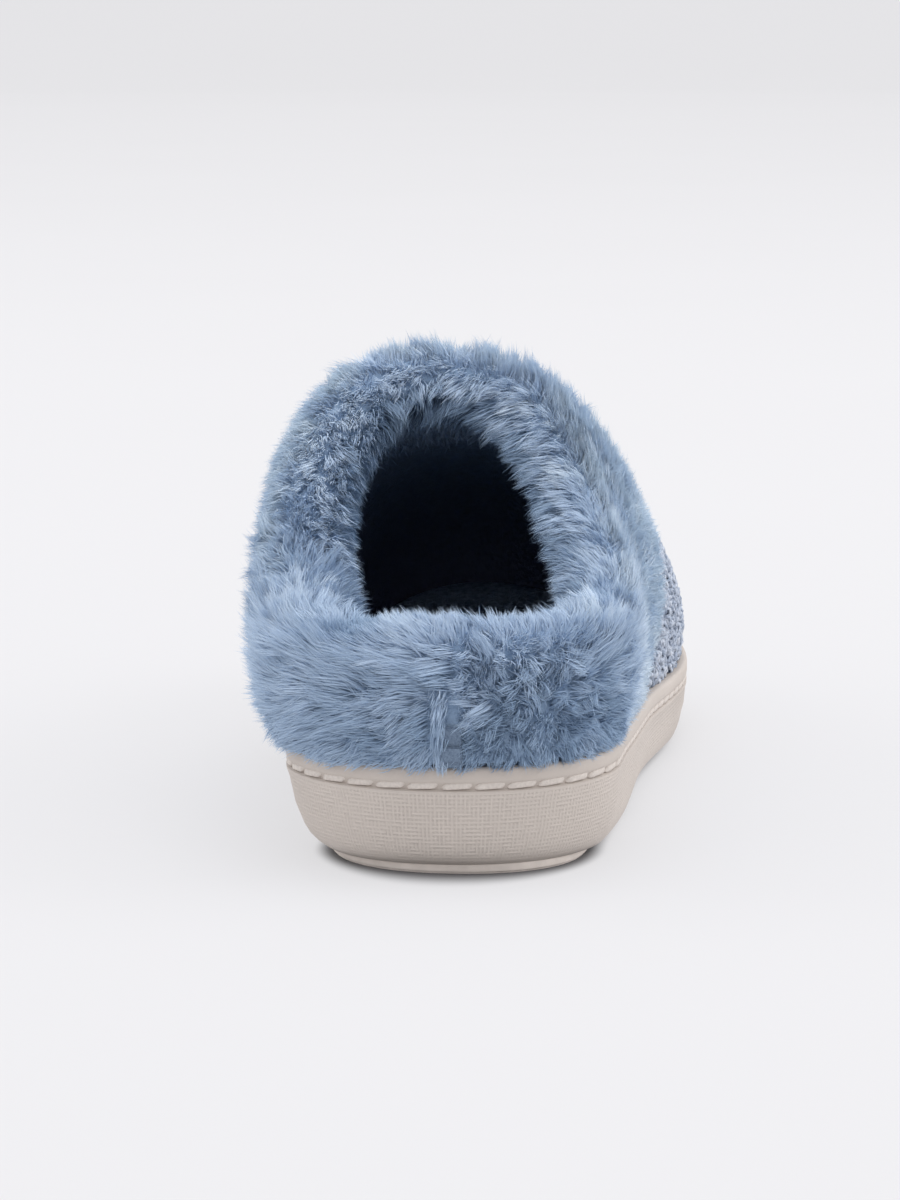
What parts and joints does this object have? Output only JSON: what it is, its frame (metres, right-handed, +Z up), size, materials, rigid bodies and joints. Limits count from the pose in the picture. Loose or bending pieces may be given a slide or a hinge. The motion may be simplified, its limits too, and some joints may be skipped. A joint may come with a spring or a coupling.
{
  "type": "house slipper",
  "caption": "Right-foot house slipper with a moulded cup sole, a hollow knitted upper and a deep fur cuff round the collar and heel; the foot slides in from behind.",
  "frame": {"origin": "centre of the bounding box in plan, on the floor under the sole", "axes": "+Y from heel to toe, +X to the outside of the foot, +Z up"},
  "size_m": [0.1044, 0.27, 0.1095],
  "materials": {
    "sole": "matt greige with a woven grain",
    "insole": "blue plush",
    "upper": "blue-grey looped knit",
    "fur_cuff": "dusty blue long-pile fur"
  },
  "bodies": {
    "root": {"sole": "sole", "insole": "insole", "upper": "upper", "fur_cuff": "fur_cuff"}
  },
  "joints": []
}
